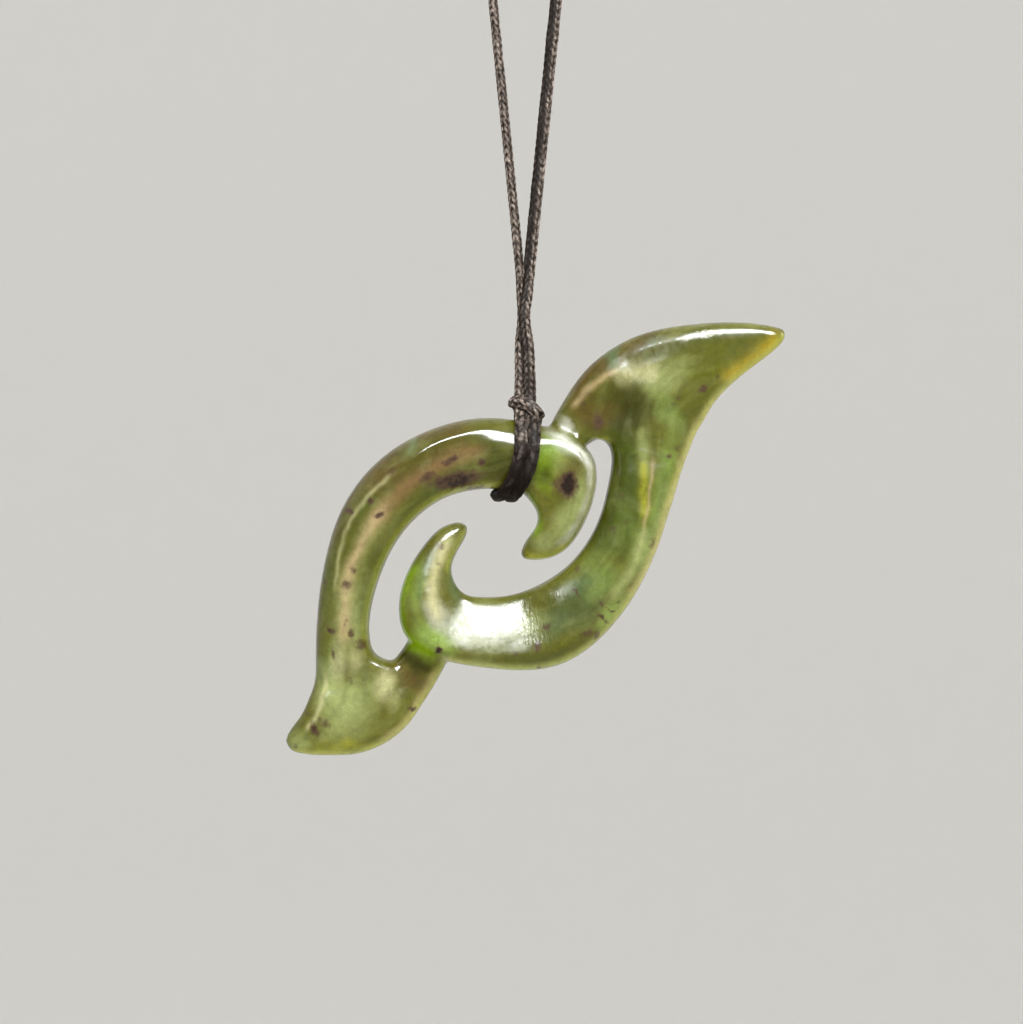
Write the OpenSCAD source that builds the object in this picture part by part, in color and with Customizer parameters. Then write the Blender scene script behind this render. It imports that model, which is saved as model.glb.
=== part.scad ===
// Koru pendant: one carved stone with two interlocking curls, hung by a lark's head hitch
// from a closed neck cord.
// Millimetres, +Z up, the pendant faces -Y. The origin is where the top of the neck loop rests.

/* [Stone] */
// Overall width of the carved stone, tail tip to tail tip
pendant_w = 50; // [50:0.5:60]
// Greatest thickness of the stone, front to back
stone_t = 6; // [5:0.25:6.5]
// Roundness of the stone's sections: 2 is an ellipse, more is boxier
section_power = 2.2; // [2:0.1:2.3]
// Points around each section of a curl
section_points = 20; // [12:2:24]
// Steps from one section of the tables to the next
steps_per_row = 3; // [1:1:3]

/* [Cord] */
// Diameter of the waxed cord
cord_d = 1; // [0.8:0.05:1]
// Sides of the cord's tube
cord_sides = 8; // [8:4:12]
// Radius of the loop's round top, to the cord's middle
loop_r = 24.5; // [18:0.5:40]
// Angle between the two hanging strands
strand_spread = 11.5; // [8:0.1:18]
// Sections of tube around the loop's round top
top_sections = 20; // [12:1:24]
// Sections of tube along each straight strand
strand_sections = 5; // [2:1:8]

/* [Hidden] */

// The tables below are drawn for a stone this wide, with the hitch's cord this far before the middle plane
drawn_w = 50;
drawn_depth = 3.85;
stone_scale = pendant_w / drawn_w;

// Gap between the stone's face and the cord of the hitch
hitch_gap = 0.35;
depth_scale = (stone_t / 2 + hitch_gap + cord_d / 2) / drawn_depth;

half_spread = strand_spread / 2;
loop_centre_z = cord_d / 2 - loop_r;

// Where the two strands come together, side by side, above the stone
join_half = 0.5 * stone_scale;
strand_meet_z = loop_centre_z - loop_r / sin(half_spread);
join_z = strand_meet_z + join_half / tan(half_spread);

// The stone's own frame: x and z are measured from the middle of its outline, y from its middle plane
join_above_stone = 27.3 * stone_scale;
stone_x = 1.25 * stone_scale;
stone_z = join_z - join_above_stone;

// Columns of the curl tables: one row for each section, from the tail's tip to the tip of the hook.
// Each section is an oval between a point of the outer edge and a point of the inner edge.
OUTER_X = 0;
OUTER_Z = 1;
INNER_X = 2;
INNER_Z = 3;
THICKNESS = 4; // share of stone_t
BACK = 5;      // how far the section lies behind the middle plane

// Upper curl: tail at the lower left, up the left side, over the top, under the cord, hook in the middle
UPPER_CURL = [
    [-25.2, -20.4, -24.5, -21.4, 0.20, 0.0],
    [-25.0, -19.5, -22.8, -21.8, 0.34, 0.0],
    [-24.2, -18.5, -20.6, -21.8, 0.46, 0.0],
    [-23.4, -17.4, -18.4, -21.8, 0.56, 0.0],
    [-23.1, -16.5, -16.2, -21.2, 0.64, 0.0],
    [-22.8, -15.8, -14.1, -20.0, 0.70, 0.1],
    [-22.6, -15.3, -12.6, -18.5, 0.74, 0.3],
    [-22.5, -14.9, -11.5, -16.8, 0.76, 0.5],
    [-22.4, -14.6, -10.8, -15.1, 0.76, 0.6],
    [-22.3, -14.3, -11.7, -13.5, 0.76, 0.6],
    [-22.3, -14.0, -13.4, -12.5, 0.76, 0.5],
    [-22.2, -13.4, -15.1, -12.2, 0.77, 0.3],
    [-22.2, -12.4, -16.4, -11.6, 0.79, 0.1],
    [-22.2, -11.0, -16.8, -10.0, 0.82, 0.0],
    [-22.1, -8.2, -16.8, -7.8, 0.86, 0.0],
    [-21.8, -4.8, -16.1, -4.8, 0.90, 0.0],
    [-21.0, -0.8, -14.7, -1.2, 0.93, 0.0],
    [-19.8, 2.9, -12.7, 1.6, 0.96, 0.0],
    [-17.5, 6.4, -10.1, 3.7, 0.98, 0.0],
    [-14.5, 9.1, -7.7, 4.6, 1.00, 0.0],
    [-10.8, 11.0, -5.6, 4.9, 1.00, 0.0],
    [-6.9, 12.1, -3.9, 4.9, 1.00, 0.0],
    [-3.4, 12.1, -2.7, 4.8, 1.00, 0.0],
    [-0.8, 11.6, -1.6, 4.7, 1.00, 0.0],
    [1.6, 11.1, -0.9, 3.9, 0.98, -0.2],
    [3.8, 10.2, -0.2, 3.0, 0.95, -0.5],
    [5.6, 8.6, 0.1, 2.2, 0.91, -0.6],
    [6.1, 6.9, 0.0, 1.3, 0.86, -0.5],
    [6.0, 4.9, -0.6, 0.4, 0.80, -0.3],
    [5.4, 2.8, -1.2, -0.3, 0.73, -0.2],
    [4.5, 0.8, -1.4, -0.8, 0.65, -0.1],
    [3.2, -1.1, -1.6, -1.3, 0.55, 0.0],
    [1.5, -2.1, -1.7, -1.7, 0.42, 0.0],
    [-0.2, -2.2, -1.3, -2.1, 0.26, 0.0],
];

// Lower curl: tail at the upper right, down the right side, round the bottom, hook at the middle
LOWER_CURL = [
    [24.9, 20.3, 24.7, 20.9, 0.20, 0.0],
    [24.7, 19.6, 23.4, 21.3, 0.32, 0.0],
    [23.5, 18.5, 21.3, 21.6, 0.44, 0.0],
    [21.9, 17.3, 18.8, 21.7, 0.54, 0.0],
    [20.3, 16.1, 15.8, 21.5, 0.62, 0.0],
    [18.9, 14.8, 12.6, 21.1, 0.68, 0.0],
    [17.8, 13.6, 9.7, 20.3, 0.73, 0.0],
    [17.2, 12.5, 7.1, 18.9, 0.77, 0.1],
    [16.7, 11.6, 4.9, 17.1, 0.79, 0.3],
    [16.2, 10.8, 3.3, 15.0, 0.80, 0.5],
    [15.8, 10.0, 2.4, 13.0, 0.80, 0.7],
    [15.6, 9.3, 2.6, 11.5, 0.80, 0.7],
    [15.3, 8.7, 3.6, 10.5, 0.80, 0.6],
    [15.1, 8.2, 5.0, 10.1, 0.80, 0.5],
    [14.9, 7.7, 6.2, 10.0, 0.82, 0.4],
    [14.7, 7.1, 7.1, 9.5, 0.84, 0.2],
    [14.4, 6.3, 7.5, 8.4, 0.87, 0.1],
    [14.1, 5.2, 7.4, 6.9, 0.90, 0.0],
    [13.7, 3.8, 7.1, 5.4, 0.93, 0.0],
    [13.0, 1.7, 6.6, 3.0, 0.96, 0.0],
    [12.3, -0.7, 5.7, 0.7, 0.98, 0.0],
    [11.3, -3.0, 4.5, -1.2, 1.00, 0.0],
    [9.9, -5.8, 2.8, -3.1, 1.00, 0.0],
    [7.8, -8.7, 0.6, -4.5, 1.00, 0.0],
    [5.1, -11.4, -1.4, -5.4, 1.00, 0.0],
    [2.1, -13.0, -3.1, -5.8, 1.00, 0.0],
    [-1.0, -13.4, -4.5, -5.9, 0.99, -0.1],
    [-4.0, -13.2, -5.8, -5.9, 0.98, -0.2],
    [-7.1, -12.8, -6.8, -5.8, 0.96, -0.4],
    [-9.7, -12.3, -7.6, -5.4, 0.94, -0.6],
    [-11.8, -11.3, -8.1, -4.7, 0.91, -0.7],
    [-13.4, -9.9, -8.4, -4.0, 0.88, -0.6],
    [-13.9, -8.0, -8.6, -3.2, 0.84, -0.4],
    [-13.9, -6.1, -8.5, -2.5, 0.80, -0.2],
    [-13.4, -4.2, -8.2, -1.8, 0.75, -0.1],
    [-12.5, -2.3, -7.9, -1.2, 0.69, 0.0],
    [-11.3, -0.6, -7.4, -0.4, 0.61, 0.0],
    [-10.1, 0.8, -7.0, 0.4, 0.50, 0.0],
    [-9.0, 1.4, -6.9, 1.1, 0.38, 0.0],
    [-8.0, 1.6, -7.2, 1.4, 0.24, 0.0],
];

// Roots by which each tail runs in behind the other curl's shoulder, closing the ends of the two slots
LOWER_ROOT = [
    [-16.5, -15.1, -12.3, -17.9, 0.37, 0.50],
    [-14.7, -12.4, -10.4, -15.1, 0.66, 0.55],
    [-13.4, -11.2, -9.2, -12.8, 0.66, 0.65],
    [-12.5, -9.1, -8.0, -10.9, 0.59, 0.65],
];
UPPER_ROOT = [
    [0.3, 9.3, 3.5, 8.3, 0.66, 0.60],
    [1.1, 11.0, 5.3, 9.5, 0.66, 0.60],
    [2.0, 12.7, 6.6, 10.1, 0.7, 0.55],
    [3.5, 15.2, 8.7, 12.0, 0.36, 0.50],
];

// Middle of the cord through the hitch, in the stone's frame: down the left strand, over the front of the
// curl, through the opening, up behind, across the front of both strands, and back the same way
HITCH_ROUTE = [
    [-1.75, 0.0, 27.2], [-1.70, 0.0, 26.8], [-1.60, 0.3, 24.5], [-1.50, 0.5, 22.0], [-1.75, 0.4, 19.3],
    [-1.75, 0.1, 16.3], [-1.75, -0.4, 14.1], [-1.60, -1.5, 12.6], [-1.55, -2.9, 11.3], [-1.60, -3.7, 9.8],
    [-1.75, -3.85, 8.1], [-2.25, -3.6, 6.4], [-3.00, -2.6, 5.0], [-3.70, -0.9, 4.2], [-4.10, 0.9, 4.2],
    [-3.60, 2.6, 5.0], [-2.90, 3.6, 6.6], [-2.30, 3.85, 8.4], [-1.90, 3.6, 10.2], [-1.70, 2.8, 11.7],
    [-1.75, 1.8, 12.8], [-2.05, 0.7, 13.4], [-2.40, -0.3, 13.6], [-2.05, -1.4, 13.6], [-1.30, -2.0, 13.45],
    [-0.60, -2.3, 13.1], [-0.05, -2.2, 12.5], [0.15, -1.2, 12.2], [0.10, 0.2, 12.2], [-0.10, 1.6, 11.9],
    [-0.45, 3.0, 10.7], [-0.90, 3.8, 9.1], [-1.50, 3.85, 7.6], [-2.20, 3.4, 6.0], [-2.75, 2.3, 4.8],
    [-2.95, 0.8, 4.15], [-2.50, -0.8, 4.1], [-1.85, -2.65, 4.8], [-1.15, -3.65, 6.05], [-0.60, -3.85, 7.6],
    [-0.35, -3.75, 9.3], [-0.30, -3.2, 10.8], [-0.45, -2.2, 11.9], [-0.65, -1.1, 12.9], [-0.70, -0.35, 14.1],
    [-0.75, -0.35, 16.3], [-0.90, -0.4, 19.3], [-1.25, -0.55, 22.0], [-0.95, -0.3, 24.5], [-0.80, 0.0, 26.8],
    [-0.75, 0.0, 27.2],
];

function unit(v) = v / norm(v);

// Weights of a uniform cubic B-spline at t between its second and third control rows
function spline_weights(t) = [
    pow(1 - t, 3) / 6,
    (3 * t * t * t - 6 * t * t + 4) / 6,
    (-3 * t * t * t + 3 * t * t + 3 * t + 1) / 6,
    t * t * t / 6
];

// A table with its rows blended smoothly, steps_per_row sections for each row
function blended_rows(rows) =
    let (
        last = len(rows) - 1,
        row = function(i) rows[min(max(i, 0), last)]
    )
    concat(
        [rows[0]],
        [for (i = [0 : last - 1], k = [0 : steps_per_row - 1])
            let (w = spline_weights(k / steps_per_row))
            row(i - 1) * w[0] + row(i) * w[1] + row(i + 1) * w[2] + row(i + 2) * w[3]
        ],
        [rows[last]]
    );

function bulge(c) = sign(c) * pow(abs(c), 2 / section_power);

// One closed oval section of a curl
function curl_section(row) =
    let (
        outer = [row[OUTER_X], 0, row[OUTER_Z]],
        inner = [row[INNER_X], 0, row[INNER_Z]],
        middle = (outer + inner) / 2 + [0, row[BACK], 0],
        across = (inner - outer) / 2,
        deep = [0, row[THICKNESS] * stone_t / 2, 0]
    )
    [for (k = [0 : section_points - 1])
        let (a = 360 * k / section_points)
        middle + across * bulge(cos(a)) + deep * bulge(sin(a))
    ];

// Faces of a closed body through rings of n points each
function ring_faces(rings, n) = concat(
    [for (r = [0 : rings - 2], k = [0 : n - 1], half = [0, 1])
        let (
            a = r * n + k,
            b = r * n + (k + 1) % n
        )
        half == 0 ? [b + n, b, a] : [a + n, b + n, a]
    ],
    [
        [for (k = [0 : n - 1]) k],
        [for (k = [0 : n - 1]) rings * n - 1 - k]
    ]
);

module lofted_curl(table) {
    sections = [for (row = blended_rows(table)) curl_section(row)];
    polyhedron(
        points = [for (section = sections, p = section) p],
        faces = ring_faces(len(sections), section_points)
    );
}

// Tangent of a route at point i
function tangent(route, i) = unit(route[min(i + 1, len(route) - 1)] - route[max(i - 1, 0)]);

// Sideways directions carried along a route without twist
function sideways(route, i = 0, done = []) =
    i == len(route) ? done :
    let (
        t = tangent(route, i),
        before = i == 0 ? [0, 1, 0] : done[i - 1],
        here = unit(before - (before * t) * t)
    )
    sideways(route, i + 1, concat(done, [here]));

module cord_tube(route) {
    side = sideways(route);
    rings = [for (i = [0 : len(route) - 1], k = [0 : cord_sides - 1])
        let (a = 360 * (k + 0.5) / cord_sides, third = cross(tangent(route, i), side[i]))
        route[i] + cord_d / 2 * (side[i] * cos(a) + third * sin(a))
    ];
    polyhedron(points = rings, faces = ring_faces(len(route), cord_sides));
}

// Left strand from the join up to the round top, round it, and down the right strand to the join
function neck_route() =
    let (
        join = [join_half, 0, join_z],
        top = [loop_r * cos(half_spread), 0, loop_centre_z - loop_r * sin(half_spread)],
        strand = [for (i = [0 : strand_sections - 1]) join + (top - join) * i / strand_sections],
        left = [for (p = strand) [-p[0], p[1], p[2]]],
        sweep = 180 + 2 * half_spread,
        arc = [for (i = [0 : top_sections])
            let (a = 180 + half_spread - sweep * i / top_sections)
            [loop_r * cos(a), 0, loop_centre_z + loop_r * sin(a)]
        ]
    )
    concat(left, arc, [for (i = [strand_sections - 1 : -1 : 0]) strand[i]]);

module in_stone_frame() {
    translate([stone_x, 0, stone_z]) children();
}

module pendant() {
    color([0.55, 0.62, 0.25])
    in_stone_frame()
    resize([pendant_w, 0, 0], auto = [true, false, true])
    union() {
        lofted_curl(UPPER_CURL);
        lofted_curl(LOWER_CURL);
        lofted_curl(LOWER_ROOT);
        lofted_curl(UPPER_ROOT);
    }
}

module cord_hitch() {
    color([0.20, 0.16, 0.15])
    in_stone_frame()
    cord_tube([for (p = HITCH_ROUTE) [p[0] * stone_scale, p[1] * depth_scale, p[2] * stone_scale]]);
}

module neck_cord() {
    color([0.24, 0.20, 0.18])
    cord_tube(neck_route());
}

pendant();
cord_hitch();
neck_cord();
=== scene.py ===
"""Koru pendant: a carved and polished green stone on a braided waxed neck cord."""

import math

import bmesh
import bpy
import numpy as np
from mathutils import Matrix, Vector, noise
from mathutils.kdtree import KDTree


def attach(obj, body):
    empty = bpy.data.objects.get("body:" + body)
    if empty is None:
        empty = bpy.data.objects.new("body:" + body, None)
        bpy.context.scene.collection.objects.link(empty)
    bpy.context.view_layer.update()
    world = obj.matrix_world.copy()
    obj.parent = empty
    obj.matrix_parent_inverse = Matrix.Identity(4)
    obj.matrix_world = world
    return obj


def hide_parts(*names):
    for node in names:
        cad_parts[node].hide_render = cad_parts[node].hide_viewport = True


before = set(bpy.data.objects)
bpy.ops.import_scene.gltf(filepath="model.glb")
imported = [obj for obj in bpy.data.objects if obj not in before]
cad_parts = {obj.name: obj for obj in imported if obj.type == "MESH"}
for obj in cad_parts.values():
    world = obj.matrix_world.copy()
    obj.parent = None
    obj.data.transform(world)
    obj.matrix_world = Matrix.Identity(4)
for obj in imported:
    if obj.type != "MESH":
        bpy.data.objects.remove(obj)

# Without a seed, noise_vector gives other values in each run
noise.seed_set(1)

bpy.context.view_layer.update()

# Lengths below are in millimetres unless a name or a comment says metres.
MM = 0.001

# The stone's own frame: x to the right and z up from the middle of its outline, y back from its middle plane
STONE_X = 1.25
STONE_Z = -290.875

# The photograph: its height in pixels, its scale at the stone, and the point at its middle
IMAGE_H = 1024
PX_PER_MM = 10
VIEW_X = -1.3
VIEW_Z = -288.275

# The camera
CAMERA_DISTANCE = 520
SENSOR = 36
CLIP_METRES = (0.01, 100)

# The cord's flat braid
CORD_WIDTH = 1.22
CORD_THICKNESS = 0.9

# The loop: radius and top of its arc, half its strands' angle, and half their distance where they start
NECK_RADIUS = 24.5
NECK_TOP_Z = 0.5
HALF_SPREAD = math.radians(11.5 / 2)
JOIN_HALF = 0.5

# Middle of the cord through the hitch, in the stone's frame: down the left strand, over the front of the
# curl, through the opening, up behind, across the front of both strands, and back the same way
HITCH_ROUTE = [
    (-1.75, 0, 27.2), (-1.7, 0, 26.8), (-1.6, 0.3, 24.5), (-1.5, 0.5, 22), (-1.75, 0.4, 19.3),
    (-1.75, 0.1, 16.3), (-1.75, -0.4, 14.1), (-1.6, -1.5, 12.6), (-1.55, -2.9, 11.3), (-1.6, -3.7, 9.8),
    (-1.75, -3.85, 8.1), (-2.25, -3.6, 6.4), (-3.00, -2.6, 5), (-3.7, -0.9, 4.2), (-4.1, 0.9, 4.2),
    (-3.6, 2.6, 5), (-2.9, 3.6, 6.6), (-2.3, 3.85, 8.4), (-1.9, 3.6, 10.2), (-1.7, 2.8, 11.7),
    (-1.75, 1.8, 12.8), (-2.05, 0.7, 13.4), (-2.4, -0.3, 13.6), (-2.05, -1.4, 13.6), (-1.3, -2, 13.45),
    (-0.6, -2.3, 13.1), (-0.05, -2.2, 12.5), (0.15, -1.2, 12.2), (0.1, 0.2, 12.2), (-0.1, 1.6, 11.9),
    (-0.45, 3, 10.7), (-0.9, 3.8, 9.1), (-1.5, 3.85, 7.6), (-2.2, 3.4, 6), (-2.75, 2.3, 4.8),
    (-2.95, 0.8, 4.15), (-2.5, -0.8, 4.1), (-1.85, -2.65, 4.8), (-1.15, -3.65, 6.05), (-0.6, -3.85, 7.6),
    (-0.35, -3.75, 9.3), (-0.3, -3.2, 10.8), (-0.45, -2.2, 11.9), (-0.65, -1.1, 12.9), (-0.7, -0.35, 14.1),
    (-0.75, -0.35, 16.3), (-0.9, -0.4, 19.3), (-1.25, -0.55, 22), (-0.95, -0.3, 24.5), (-0.8, 0, 26.8),
    (-0.75, 0, 27.2),
]

# Which way the flat cord's width points, at these points of the hitch's route
HITCH_WIDTH = {
    0: (0.3, 1, 0), 5: (0.3, 1, 0), 8: (1, 0, 0), 17: (1, 0, 0), 24: (0, 0.3, 1),
    31: (1, 0, 0), 39: (1, 0, 0), 43: (1, 0.2, 0), 50: (1, 0.2, 0),
}


# Camera and stage

def add_object(name, data):
    obj = bpy.data.objects.new(name, data)
    bpy.context.scene.collection.objects.link(obj)
    return obj


def make_camera():
    data = bpy.data.cameras.new("camera")
    data.sensor_width = SENSOR
    data.lens = SENSOR * CAMERA_DISTANCE * PX_PER_MM / IMAGE_H
    data.clip_start, data.clip_end = CLIP_METRES
    camera = add_object("camera", data)
    camera.location = Vector((VIEW_X, -CAMERA_DISTANCE, VIEW_Z)) * MM
    camera.rotation_euler = (math.radians(90), 0, 0)
    bpy.context.scene.camera = camera


def link_mesh(name, points, faces, smooth=True):
    """A mesh object from points in metres, with faces of three or four corners."""
    mesh = bpy.data.meshes.new(name)
    mesh.from_pydata([tuple(p) for p in points], [], [tuple(f) for f in faces])
    mesh.polygons.foreach_set("use_smooth", [smooth] * len(mesh.polygons))
    mesh.update()
    return add_object(name, mesh)


def smooth_step(x, low, high):
    t = np.clip((x - low) / (high - low), 0, 1)
    return t * t * (3 - 2 * t)


def tube_faces(rings, sides, closed=True):
    """Quads of a tube whose points are listed ring by ring."""
    faces = []
    for r in range(rings if closed else rings - 1):
        here, there = r * sides, (r + 1) % rings * sides
        for k in range(sides):
            after = (k + 1) % sides
            faces.append((here + k, there + k, there + after, here + after))
    return faces


# The studio floor in metres: its height, its inner ring, its flat radius, the curve at its edge, and its wall
FLOOR_Z = -1.2
BOWL_RING = 0.6
BOWL_FLAT = 1.9
BOWL_CURVE = 0.7
BOWL_WALL = 2.0
BOWL_STEPS = 14
BOWL_SIDES = 96
FLOOR_COLOUR = (0.86, 0.855, 0.84)


def make_floor():
    """A pale studio floor whose edge curves up all round into a plain wall."""
    profile = [(BOWL_RING, 0.0), (BOWL_FLAT, 0.0)]
    for i in range(1, BOWL_STEPS + 1):
        a = math.pi / 2 * i / BOWL_STEPS
        profile.append((BOWL_FLAT + BOWL_CURVE * math.sin(a), BOWL_CURVE * (1 - math.cos(a))))
    profile.append((BOWL_FLAT + BOWL_CURVE, BOWL_WALL))
    points = [(0, 0, FLOOR_Z)]
    for radius, height in profile:
        for k in range(BOWL_SIDES):
            a = 2 * math.pi * k / BOWL_SIDES
            points.append((radius * math.cos(a), radius * math.sin(a), FLOOR_Z + height))
    faces = [(0, 1 + k, 1 + (k + 1) % BOWL_SIDES) for k in range(BOWL_SIDES)]
    faces += [[1 + c for c in face] for face in tube_faces(len(profile), BOWL_SIDES, closed=False)]
    floor = link_mesh("studio_floor", points, faces)
    floor.data.materials.append(floor_material())


# Material helpers

def new_material(name):
    """An empty node material with its output, its main shader and short ways to add nodes."""
    material = bpy.data.materials.new(name)
    material.use_nodes = True
    tree = material.node_tree
    tree.nodes.clear()
    out = tree.nodes.new("ShaderNodeOutputMaterial")
    shader = tree.nodes.new("ShaderNodeBsdfPrincipled")
    tree.links.new(shader.outputs[0], out.inputs[0])
    return material, Nodes(tree), shader


class Nodes:
    """Adds nodes to a tree: a number or a colour sets a socket, and another node's output is linked to it."""

    def __init__(self, tree):
        self.tree = tree

    def put(self, socket, value):
        if isinstance(value, bpy.types.NodeSocket):
            self.tree.links.new(value, socket)
        elif isinstance(value, (int, float)):
            socket.default_value = value
        else:
            needs_alpha = len(value) == 3 and len(socket.default_value) == 4
            socket.default_value = (*value, 1) if needs_alpha else value

    def fill(self, node, first=(), **named):
        """Sets a node's first inputs in their order, and others by name, with underscores for spaces."""
        for socket, value in zip(node.inputs, first):
            self.put(socket, value)
        for name, value in named.items():
            self.put(node.inputs[name.replace("_", " ")], value)

    def add(self, kind, settings=(), first=(), **named):
        node = self.tree.nodes.new(kind)
        for key, value in dict(settings).items():
            setattr(node, key, value)
        self.fill(node, first, **named)
        return node

    def math(self, operation, a, b=0.0):
        return self.add("ShaderNodeMath", {"operation": operation}, (a, b)).outputs[0]

    def times(self, a, b):
        return self.math("MULTIPLY", a, b)

    def mix(self, factor, a, b, blend="MIX"):
        node = self.add("ShaderNodeMix", {"data_type": "RGBA", "blend_type": blend})
        self.put(node.inputs[0], factor)
        self.put(node.inputs[6], a)
        self.put(node.inputs[7], b)
        return node.outputs[2]

    def ramp(self, value, low, high, to_low=0.0, to_high=1.0):
        inputs = (value, low, high, to_low, to_high)
        return self.add("ShaderNodeMapRange", {"interpolation_type": "SMOOTHSTEP"}, inputs).outputs[0]

    def attribute(self, name, output="Fac"):
        return self.add("ShaderNodeAttribute", {"attribute_name": name}).outputs[output]

    def noise(self, where, scale, detail=3.0, roughness=0.5, distortion=0.0):
        node = self.add("ShaderNodeTexNoise", Vector=where, Scale=scale, Detail=detail,
                        Roughness=roughness, Distortion=distortion)
        return node.outputs[0]

    def bump(self, height, strength, distance, under=None):
        """A surface that height roughens, on top of the bump under it."""
        node = self.add("ShaderNodeBump", Strength=strength, Distance=distance, Height=height)
        if under is not None:
            self.fill(node, Normal=under)
        return node.outputs[0]

    def place(self):
        """Where the shaded point lies in the row frame at rest, in metres."""
        return self.add("ShaderNodeTexCoord").outputs["Object"]


def floor_material():
    material, nodes, shader = new_material("pale_floor")
    nodes.fill(shader, Base_Color=FLOOR_COLOUR, Roughness=0.9, Specular_IOR_Level=0.1)
    return material


make_camera()
make_floor()


# Cord

def spline(points, closed=False, spacing=0.05):
    """Points along a smooth curve through the given ones, about spacing apart."""
    p = np.array(points, float)
    n = len(p)
    out = []
    for i in range(n if closed else n - 1):
        a, b, c, d = (p[(i + k) % n] if closed else p[min(max(i + k, 0), n - 1)] for k in (-1, 0, 1, 2))
        steps = max(2, int(np.linalg.norm(c - b) / spacing))
        for t in np.arange(steps) / steps:
            out.append(0.5 * (2 * b + (c - a) * t + (2 * a - 5 * b + 4 * c - d) * t ** 2
                              + (3 * b - a - 3 * c + d) * t ** 3))
    return np.array(out)


def neck_route():
    """The rest of the loop, in the row frame: up the right strand, round the top and down the left one."""
    centre_z = NECK_TOP_Z - NECK_RADIUS
    meet_z = centre_z - NECK_RADIUS / math.sin(HALF_SPREAD)
    join_z = meet_z + JOIN_HALF / math.tan(HALF_SPREAD)
    join = np.array([JOIN_HALF, 0, join_z])
    top = np.array([NECK_RADIUS * math.cos(HALF_SPREAD), 0, centre_z - NECK_RADIUS * math.sin(HALF_SPREAD)])
    strand_points = 16
    right = [join + (top - join) * i / strand_points for i in range(1, strand_points)]
    sweep = math.pi + 2 * HALF_SPREAD
    arc_points = 20
    arc = []
    for i in range(arc_points + 1):
        a = -HALF_SPREAD + sweep * i / arc_points
        arc.append(np.array([NECK_RADIUS * math.cos(a), 0, centre_z + NECK_RADIUS * math.sin(a)]))
    left = [p * (-1, 1, 1) for p in reversed(right)]
    return right + arc + left


# The cord's rings: their sides, how far past the hitch they are dense, the steps between dense and sparse
# ones, and the stretch over which the braid's relief fades out
CORD_SIDES = 26
DENSE_PAST_HITCH = 30.0
RING_STEP = 0.075
RING_STEP_FAR = 0.36
RELIEF_FADE = 8


def cord_line():
    """The cord's closed middle line, the relief it shows, its length, and where its width's way is known."""

    def place_of(point):
        return along[int(np.argmin(np.linalg.norm(line - point, axis=1)))]

    hitch = [np.array(p) + (STONE_X, 0, STONE_Z) for p in HITCH_ROUTE]
    line = spline(hitch + neck_route(), closed=True, spacing=0.02)
    step = np.linalg.norm(np.roll(line, -1, 0) - line, axis=1)
    along = np.concatenate([[0], np.cumsum(step)])
    total = along[-1]
    dense = (-DENSE_PAST_HITCH, place_of(hitch[-1]) + DENSE_PAST_HITCH)
    at = np.concatenate([np.arange(dense[0], dense[1], RING_STEP),
                         np.arange(dense[1], total + dense[0], RING_STEP_FAR)])
    closed_line = np.vstack([line, line[:1]])
    middle = np.stack([np.interp(at % total, along, closed_line[:, k]) for k in range(3)], 1)
    relief = np.clip((dense[1] - at) / RELIEF_FADE, 0, 1) * np.clip((at - dense[0]) / RELIEF_FADE, 0, 1)
    return at, middle, relief, total, [place_of(hitch[index]) for index in HITCH_WIDTH]


def cord_frames(middle, at, known_at):
    """Tangents, and the two directions across the cord at each ring: its width and its thickness."""
    tangent = np.roll(middle, -1, 0) - np.roll(middle, 1, 0)
    tangent /= np.linalg.norm(tangent, axis=1)[:, None]
    side = np.zeros_like(middle)
    before = np.array([1.0, 0.0, 0.0])
    for i, t in enumerate(tangent):
        before = before - (before @ t) * t
        before /= np.linalg.norm(before)
        side[i] = before
    third = np.cross(tangent, side)
    angles = []
    for s, direction in zip(known_at, HITCH_WIDTH.values()):
        i = int(np.argmin(np.abs(at - s)))
        angles.append(math.atan2(np.dot(direction, third[i]), np.dot(direction, side[i])))
    roll = np.interp(at, known_at, np.unwrap(angles, period=math.pi))
    # The loop closes on itself, so what is left of the turn is spread along the neck
    end_side = side[-1] * math.cos(roll[-1]) + third[-1] * math.sin(roll[-1])
    start_side = side[0] * math.cos(roll[0]) + third[0] * math.sin(roll[0])
    gap = math.atan2(np.dot(start_side, np.cross(tangent[-1], end_side)), np.dot(start_side, end_side))
    gap = (gap + math.pi / 2) % math.pi - math.pi / 2
    roll = roll + gap * np.clip((at - known_at[-1]) / (at[-1] - known_at[-1]), 0, 1)
    width = side * np.cos(roll)[:, None] + third * np.sin(roll)[:, None]
    return tangent, width, np.cross(tangent, width)


# The braid: columns of yarns round the cord, the length of a stroke along it, how far a stroke leans, and how
# full a stroke is along and across its run
BRAID_COLUMNS = 6
STROKE_PITCH = 0.78
STROKE_SLANT = 1.0
STROKE_FULLNESS = (0.5, 0.4)

# Odd numbers that give each stroke a share of its own from 0 to 1
HASH = (12.9898, 78.233, 43758.5453)

# How the braid varies: relief of its yarns, their mean height, waves of the cord's girth, how far the columns
# drift round it, and how far each one runs ahead of or behind the others
BRAID_RELIEF = 0.18
BRAID_MEAN = 0.62
GIRTH_WAVES = 0.05
COLUMN_DRIFT = 0.06
COLUMN_STAGGER = 0.22

# Where the cord is pulled flat round the stone: between these heights in the stone's frame. There its strokes
# are longer and lean less, and it is wider and thinner.
PULLED_HEIGHTS = (3.0, 12.8)
PULLED_LONGER = 0.9
PULLED_LEANS_LESS = 0.45
PULLED_WIDER = 0.10
PULLED_THINNER = 0.06

# Painted light and shade along the cord: how pale it is painted along its run, from the left strand through
# the hitch and up the right strand, and how much lighter the right strand's lit right side is painted
CORD_PAINTED_LIGHT = [1.7, 1.45, 1.25, 3.0, 2.9, 1.2, 1.2, 0.8, 0.42, 0.42, 1.7]
RIGHT_SIDE_PAINTED_LIGHT = 3.8


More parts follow.
